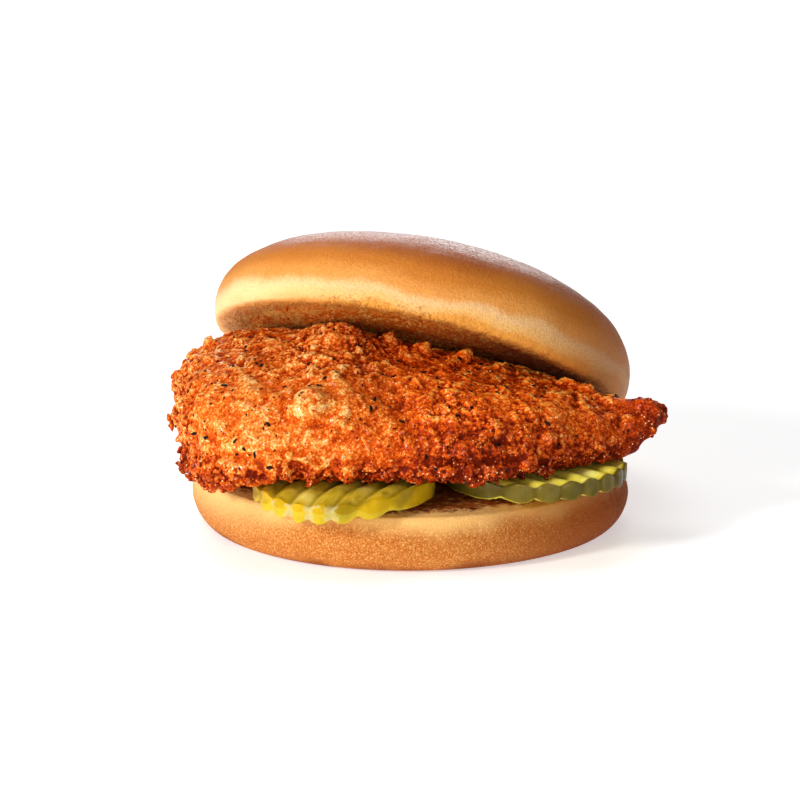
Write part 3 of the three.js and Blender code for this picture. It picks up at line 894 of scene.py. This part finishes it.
# Distance from every point to a line of corners
def distanceTo(points, corners):
    nearest = np.full(len(points), 1.0)
    for first, second in zip(corners[:-1], corners[1:]):
        span = second - first
        share = np.clip((points - first) @ span / (span @ span), 0, 1)
        away = np.linalg.norm(points - first - share[:, None] * span, axis=1)
        nearest = np.minimum(nearest, away)
    return nearest


# Folds: the surface near a line is pushed out or in along its normals, and kept as lighter or darker there:
# lighter along raised folds, partly the blister's paler coating and partly painted light, and darker along
# creases as painted shade
def addFolds(piece, folds):
    corners = [[pointSeenAt(piece, pixel)[0] for pixel in fold["line"]] for fold in folds]
    corners = [[np.array(place) for place in line if place is not None] for line in corners]
    lightness = np.zeros(len(piece.data.vertices))
    for index, (fold, line) in enumerate(zip(folds, corners)):
        if len(line) < 2:
            continue
        share = np.clip(1 - distanceTo(readPoints(piece), line) / (fold["width"] * mm * 1.4), 0, 1)
        share = share * share * (3 - 2 * share)
        group = piece.vertex_groups.new(name="fold" + str(index))
        for near in np.flatnonzero(share > 0):
            group.add([int(near)], float(share[near]), "REPLACE")
        applyModifier(piece, "DISPLACE", strength=fold["height"] * mm, mid_level=0, vertex_group=group.name)
        # painted light along raised folds and painted shade along creases
        pale = fold.get("pale", 0.04 * fold["height"])
        lightness += pale * share
    keepValues(piece, "paleness", lightness)


def addLumps(piece, lumps):
    added = []
    for lump in lumps:
        place, normal = pointSeenAt(piece, lump["pixel"])
        if place is None:
            continue
        lump["place"] = place
        half = Vector(lump["half"]) * mm
        bpy.ops.mesh.primitive_ico_sphere_add(subdivisions=3, radius=1, location=(0, 0, 0))
        ball = bpy.context.object
        sunk = Matrix.Translation((0, 0, lump["rise"] * mm - half.z))
        ball.data.transform(standingFrame(place, normal) @ sunk @ Matrix.Diagonal((*half, 1)))
        added.append(ball)
    makeActive(piece)
    for ball in added:
        ball.select_set(True)
    bpy.ops.object.join()


# How craggy the coating is there: calm on the front face and on blisters, rough along edges and ends
def cragginess(place, normal):
    lowEdge = 1 - fade(21 * mm, 29 * mm, place.z)
    lowEdge *= 1 - 0.75 * fade(38 * mm, 52 * mm, place.x)
    ends = 1 - fade(-58 * mm, -47 * mm, place.x)
    crest = 0.45 * fade(41 * mm, 48 * mm, place.z)
    behind = 0.45 * fade(-0.1, 0.5, normal.y)
    middle = 0.3 * fade(-10 * mm, 12 * mm, place.x) * (1 - 0.5 * fade(46 * mm, 58 * mm, place.x))
    rough = fillet["calm"] + (1 - fillet["calm"]) * max(lowEdge, ends, crest, behind, middle)
    for spot, reach, calm in calmSpots:
        away = (place - spot).length
        rough *= 1 - 0.85 * calm * (1 - fade(0.55 * reach, 1.15 * reach, away))
    rough *= 1 - 0.45 * fade(48 * mm, 56 * mm, place.x)
    return min(1, rough)


# Keeps a point of the fillet under the plane of the top bun's cut face
def underTopBun(place, clearance):
    above = (place - topBun["centre"]).dot(cutFaceNormal) + clearance
    return place - cutFaceNormal * above if above > 0 else place


calmSpots = []


def makeFillet(look):
    piece = copyNode("chicken_fillet", "chickenFilletLook")
    for pixel, reach in look["calmPlaces"]:
        calmSpots.append((pointSeenAt(piece, pixel)[0], reach * mm, 0.8))
    addLumps(piece, look["lumps"])
    for lump in look["lumps"]:
        if "calm" in lump:
            calmSpots.append((lump["place"], max(lump["half"][:2]) * mm, lump["calm"]))
    remeshEvenly(piece, look["grain"], 5)
    selectFaces(piece, lambda face: face.normal.y < -0.02 and face.normal.z > -0.7)
    bpy.ops.mesh.subdivide(number_cuts=1, smoothness=0)
    bpy.ops.object.mode_set(mode="OBJECT")
    addFolds(piece, look["folds"])
    addRelief(piece, reliefTexture("CLOUDS", 3.4 * mm, noise_depth=1), look["softHeight"])
    paintGroup(piece, "craggy", cragginess)
    paintGroup(piece, "grainy", lambda place, normal: 0.2 + 0.8 * cragginess(place, normal))
    smooth = readPoints(piece)
    outward = readPoints(piece, "normal")
    keepValues(piece, "rough", [cragginess(vertex.co, vertex.normal) for vertex in piece.data.vertices])
    crags = reliefTexture("CLOUDS", look["craggySize"], noise_depth=2, noise_type="HARD_NOISE")
    knobs = reliefTexture("VORONOI", look["knobSize"], distance_metric="DISTANCE_SQUARED")
    grains = reliefTexture("VORONOI", look["grainSize"], distance_metric="DISTANCE_SQUARED")
    addRelief(piece, crags, look["craggyHeight"], 0.45, "craggy")
    addRelief(piece, knobs, -look["knobHeight"], 0.35, "craggy")
    keepValues(piece, "crags", ((readPoints(piece) - smooth) * outward).sum(1) / mm)
    addRelief(piece, grains, -look["grainHeight"], 0.35, "grainy")
    addRelief(piece, reliefTexture("CLOUDS", 0.9 * mm, noise_depth=1), 0.5 * mm, 0.5, "grainy")
    moveVertices(piece, lambda place: underTopBun(place, look["clearance"]))
    keepValues(piece, "creases", creaseDepth(piece, look["creaseRounds"]) / mm)
    return piece


# The coating's colour follows its relief: lighter where it is calm, with painted shade in the creases and
# painted light where it stands out
def makeFilletMaterial(name, look, spread=0.0):
    material = newMaterial(name)
    place = objectPlace(material)
    across, along, height = splitVector(material, place)
    geometry = addNode(material, "NewGeometry")
    crags, creases, craggy, paleness = [addNode(material, "Attribute", attribute_name=kept).outputs["Fac"]
                                        for kept in ("crags", "creases", "rough", "paleness")]
    broad = addNoise(material, place, 15 * mm, 2)
    patch = addNoise(material, place, 4.0 * mm, 3, 0.6)
    fine = addNoise(material, place, 0.6 * mm, 2, 0.8)
    beads = addCells(material, place, 0.75 * mm)
    topRight = times(material, addRange(material, across, *look["upperRightLightAcross"]),
                     addRange(material, height, *look["upperRightLightHeight"]))
    # painted shade in the creases and painted light on the knobs
    inCrease = addRange(material, creases, -0.14, 0.16, 0.16, -0.42, smooth=False)
    changes = [times(material, topRight, 0.1),
               times(material, inCrease, addRange(material, craggy, 0.1, 0.6, 0.65, 1)),
               addRange(material, broad, 0.3, 0.7, -0.05, 0.05),
               addRange(material, patch, 0.25, 0.75, -0.12, 0.12),
               addRange(material, fine, 0.22, 0.78, -0.2, 0.2),
               # painted shade between the bumped beads and in the hollows, painted light on the beads and on
               # the crags
               addRange(material, beads, 0.1, 0.6, 0.1, -0.12),
               addRange(material, crags, -1, 1, -0.12, 0.1, smooth=False),
               paleness]
    for shade in look["paintedShading"]:
        value = across if shade["axis"] == "X" else height
        changes.append(addRange(material, value, *shade["reach"], 0, shade["change"]))
    if spread:
        own = geometry.outputs["Random Per Island"]
        changes.append(addRange(material, own, 0, 1, -spread, spread, smooth=False))
    heat = addRange(material, craggy, 0.1, 0.9, 0.78, 0.66)
    for change in changes:
        heat = plus(material, heat, change)
    colour = addRamp(material, heat, [(0.06, look["deep"]), (0.3, look["brown"]), (0.53, look["orange"]),
                                      (0.76, look["bright"]), (0.96, look["tan"])])
    # painted light: the top of the coating, from the middle towards the right, is brightened by a tint
    colour = addMix(material, topRight, colour, look["upperRightLightTint"], blend_type="MULTIPLY", use_clamp=True)
    shifted = mapVector(material, place, location=(3 * mm, 5 * mm, 1 * mm))
    redSpots = addRange(material, addCells(material, shifted, 1.5 * mm), 0.2, 0.12, 0, 0.75)
    redSpots = times(material, redSpots, addRange(material, patch, 0.55, 0.42))
    colour = addMix(material, redSpots, colour, look["brown"])
    # painted glints: pale dots on the knobs of the coating, kept out of the creases
    sparks = addRange(material, addCells(material, place, 1.0 * mm), 0.24, 0.12)
    sparks = times(material, sparks, addRange(material, patch, 0.42, 0.52))
    sparks = times(material, sparks, addRange(material, creases, 0.04, -0.02))
    colour = addMix(material, sparks, colour, look["paintedGlint"])
    bump = addBump(material, beads, 0.42 * mm, -1.0)
    bump = addBump(material, fine, 0.3 * mm, 1.0, bump)
    rough = addRange(material, patch, 0.3, 0.7, 0.45, 0.65)
    glint = addRange(material, addNoise(material, place, 1.2 * mm, 2), 0.48, 0.55, 0.0, 0.8)
    upward = splitVector(material, geometry.outputs["Normal"])[2]
    for share in (addRange(material, creases, 0.02, -0.06), addRange(material, upward, -0.15, 0.3),
                  addRange(material, across, 54 * mm, 44 * mm, 0.25, 1)):
        glint = times(material, glint, share)
    addSurface(material, {"Base Color": colour, "Roughness": rough, "Normal": bump,
                          "Specular IOR Level": 0.05, "Coat Weight": glint, "Coat Roughness": 0.14,
                          "Subsurface Weight": 0.1, "Subsurface Radius": (1.4 * mm, 0.5 * mm, 0.2 * mm),
                          "Subsurface Scale": 1.0})
    return material


filletPiece = makeFillet(fillet)
finishPiece(filletPiece, "root", "breaded_chicken", makeFilletMaterial("friedCoating", fillet),
            "chicken_fillet")
print("fillet ready")


# Loose bits of the coating. Each kind is modelled a few times and then scattered as one mesh.
def unsettle(seed, unevenness):
    bpy.ops.object.mode_set(mode="EDIT")
    bpy.ops.mesh.select_all(action="SELECT")
    bpy.ops.transform.vertex_random(offset=unevenness, seed=seed)
    bpy.ops.object.mode_set(mode="OBJECT")


def modelBall(seed, unevenness, segments, rings):
    bpy.ops.object.select_all(action="DESELECT")
    bpy.ops.mesh.primitive_uv_sphere_add(segments=segments, ring_count=rings, radius=1, location=(0, 0, 0))
    unsettle(seed, unevenness)
    return bpy.context.object


# A flake: a small sheet with curled corners and a little thickness
def modelFlake(seed, unevenness):
    bpy.ops.object.select_all(action="DESELECT")
    bpy.ops.mesh.primitive_grid_add(x_subdivisions=4, y_subdivisions=3, size=2, location=(0, 0, 0))
    piece = bpy.context.object
    moveVertices(piece, lambda place: Vector((place.x * (1.2 - 0.5 * abs(place.y)), place.y,
                                              0.5 * place.x ** 2 - 0.3 * place.y * place.x)))
    unsettle(seed, unevenness)
    applyModifier(piece, "SOLIDIFY", thickness=0.3, offset=0)
    return piece


def takeShape(piece):
    points = np.array([vertex.co for vertex in piece.data.vertices])
    faces = [list(polygon.vertices) for polygon in piece.data.polygons]
    bpy.data.objects.remove(piece)
    return points, faces


# Copies of the shapes all over a surface as one mesh, where a rule says how likely they are
def scatterOver(name, surface, shapes, look, likely):
    polygons = surface.data.polygons
    centres = readRows(polygons, "center", 3)
    normals = readRows(polygons, "normal", 3)
    areas = readRows(polygons, "area", 1)[:, 0]
    weights = areas * np.array([likely(Vector(centre), Vector(normal))
                                for centre, normal in zip(centres, normals)])
    draw = np.random.default_rng(look["seed"])
    chosen = draw.choice(len(polygons), size=look["count"], replace=False, p=weights / weights.sum())
    points, faces, heights, start = [], [], [], 0
    for index in chosen:
        shapePoints, shapeFaces = shapes[draw.integers(len(shapes))]
        smallest, largest = look["size"]
        size = smallest + (largest - smallest) * draw.random() ** look["rare"]
        longer = 1 + look["stretch"] * draw.random()
        stretch = np.array([longer, 1, look["flat"] * (0.8 + 0.4 * draw.random())])
        spin = 2 * math.pi * draw.random()
        tilt = Matrix.Rotation(math.radians(look["tilt"]) * (2 * draw.random() - 1), 4, "X")
        place = Vector(centres[index]) + Vector(normals[index]) * size * look["rise"]
        pose = np.array(standingFrame(place, Vector(normals[index]), spin) @ tilt)
        copy = shapePoints * stretch * size @ pose[:3, :3].T + pose[:3, 3]
        if not insideBox(copy):
            continue
        points.append(copy)
        # painted shade at each crumb's foot and painted light on its top: the height along the normal is
        # kept as crease depth for the coating's colour
        heights.append(0.12 * (copy - centres[index]) @ normals[index] / size)
        faces += [[start + corner for corner in face] for face in shapeFaces]
        start += len(copy)
    newMesh = bpy.data.meshes.new(name)
    newMesh.from_pydata(np.concatenate(points).tolist(), [], faces)
    piece = bpy.data.objects.new(name, newMesh)
    bpy.context.scene.collection.objects.link(piece)
    keepValues(piece, "creases", -np.concatenate(heights))
    for valueName, value in (("crags", 0.2), ("rough", 0.75), ("paleness", 0)):
        keepValues(piece, valueName, np.full(start, value))
    return piece


# Nothing scattered may leave the CAD box or stick into the top bun
def insideBox(points):
    low, high = cadBox
    if (points.min(0) < np.array(low)).any() or (points.max(0) > np.array(high)).any():
        return False
    above = (points - np.array(topBun["centre"])) @ np.array(cutFaceNormal)
    return above.max() < 0


def outside(place, normal):
    return 1 - fade(0.3, 0.9, -normal.z) * fade(24 * mm, 21 * mm, place.z)


crumbs = {
    "coatingBeads": {"seed": 11, "count": 1100, "size": (0.4 * mm, 0.9 * mm), "rare": 2.0,
                     "stretch": 0.5, "flat": 0.85, "tilt": 40, "rise": 0.05},
    "coatingGrains": {"seed": 12, "count": 2600, "size": (0.22 * mm, 0.45 * mm), "rare": 1.4,
                      "stretch": 0.7, "flat": 0.8, "tilt": 60, "rise": 0.1},
    "coatingFlakes": {"seed": 13, "count": 260, "size": (0.5 * mm, 1.3 * mm), "rare": 1.8,
                      "stretch": 0.8, "flat": 1.0, "tilt": 60, "rise": 0.1},
    "pepperFlecks": {"seed": 14, "count": 420, "size": (0.16 * mm, 0.5 * mm), "rare": 1.7,
                     "stretch": 1.8, "flat": 0.5, "tilt": 35, "rise": 0.3},
    "chilliFlecks": {"seed": 15, "count": 900, "size": (0.12 * mm, 0.32 * mm), "rare": 1.3,
                     "stretch": 1.0, "flat": 0.6, "tilt": 35, "rise": 0.2},
    "pepper": screenColour(12, 8, 8),
    "pepperPale": screenColour(40, 28, 24),
    "chilli": screenColour(88, 6, 4),
    "chilliPale": screenColour(150, 26, 8),
}


def makeSpeckMaterial(name, dark, pale):
    material = newMaterial(name)
    fine = addNoise(material, objectPlace(material), 0.4 * mm, 2)
    own = addNode(material, "NewGeometry").outputs["Random Per Island"]
    share = times(material, own, addRange(material, fine, 0.4, 0.7))
    addSurface(material, {"Base Color": addMix(material, share, dark, pale), "Roughness": 0.5,
                          "Normal": addBump(material, fine, 0.1 * mm, 0.6), "Specular IOR Level": 0.12})
    return material


def craggyThere(place, normal):
    return cragginess(place, normal) ** 3 * outside(place, normal)


def anywhere(place, normal):
    return (0.25 + cragginess(place, normal)) * outside(place, normal)


def edgesThere(place, normal):
    lowEdge = 1 - fade(20 * mm, 30 * mm, place.z)
    return (0.03 + lowEdge * (1 - fade(34 * mm, 44 * mm, place.x))) * outside(place, normal)


balls = [takeShape(modelBall(seed, 0.16, 8, 6)) for seed in range(4)]
smallBalls = [takeShape(modelBall(seed, 0.18, 6, 5)) for seed in range(7, 11)]
flakes = [takeShape(modelFlake(seed, 0.22)) for seed in range(4)]
chips = [takeShape(modelBall(seed, 0.3, 6, 4)) for seed in range(4, 7)]
crumbMaterial = makeFilletMaterial("coatingCrumbs", fillet, spread=0.1)
pepperMaterial = makeSpeckMaterial("blackPepper", crumbs["pepper"], crumbs["pepperPale"])
chilliMaterial = makeSpeckMaterial("redChilli", crumbs["chilli"], crumbs["chilliPale"])
for bitsName, shapes, likely, bitsMaterial in (("coatingBeads", balls, craggyThere, crumbMaterial),
                                               ("coatingGrains", smallBalls, anywhere, crumbMaterial),
                                               ("coatingFlakes", flakes, edgesThere, crumbMaterial),
                                               ("pepperFlecks", chips, outside, pepperMaterial),
                                               ("chilliFlecks", chips, outside, chilliMaterial)):
    bitsPiece = scatterOver(bitsName, filletPiece, shapes, crumbs[bitsName], likely)
    finishPiece(bitsPiece, "root", "breaded_chicken", bitsMaterial)
print("crumbs and flecks ready")


# Stage: a plain pale floor, a pale surround and soft studio light
stage = {
    "floorSize": 6,
    "floorColour": (0.9, 0.9, 0.9, 1),
    "floorGlow": 0.45,        # the floor glows a little though it is no lamp: painted light that lightens the burger's shadow on it and lights the burger from below
    "surround": 0.16,
    "aim": (0, 0, 0.03),
    "lights": {
        "key": {"place": (-0.68, -0.62, 0.46), "size": 0.22, "power": 6.1},
        "fill": {"place": (0.25, -1.1, 0.3), "size": 0.6, "power": 2.6},
        "bounce": {"place": (-0.62, -0.56, 0.06), "size": 0.3, "power": 2.8, "colour": (1, 0.91, 0.8)},
        "top": {"place": (-0.3, 0.0, 1.0), "size": 0.6, "power": 2.5},
        "back": {"place": (0.1, 2.4, 0.9), "size": 1.6, "power": 21},
    },
}


def makeLight(name, target, place, size, power, colour=(1, 1, 1)):
    bpy.ops.object.light_add(type="AREA", location=place)
    light = bpy.context.object
    light.name = name
    light.data.shape = "DISK"
    light.data.size = size
    light.data.energy = power
    light.data.color = colour
    light.rotation_euler = (Vector(target) - Vector(place)).to_track_quat("-Z", "Y").to_euler()


def makeStage(look):
    bpy.ops.object.select_all(action="DESELECT")
    bpy.ops.mesh.primitive_plane_add(size=look["floorSize"])
    floor = bpy.context.object
    floor.name = "floor"
    material = newMaterial("paleFloor")
    addSurface(material, {"Base Color": look["floorColour"], "Roughness": 0.7, "Specular IOR Level": 0.2,
                          "Emission Color": (1, 1, 1, 1), "Emission Strength": look["floorGlow"]})
    floor.data.materials.append(material)
    world = bpy.data.worlds.new("surround")
    bpy.context.scene.world = world
    world.use_nodes = True
    background = world.node_tree.nodes["Background"].inputs
    background["Color"].default_value = (1, 1, 1, 1)
    background["Strength"].default_value = look["surround"]
    for name, light in look["lights"].items():
        makeLight(name, look["aim"], **light)
    bpy.context.scene.view_settings.view_transform = "Standard"


makeStage(stage)
print("stage ready")
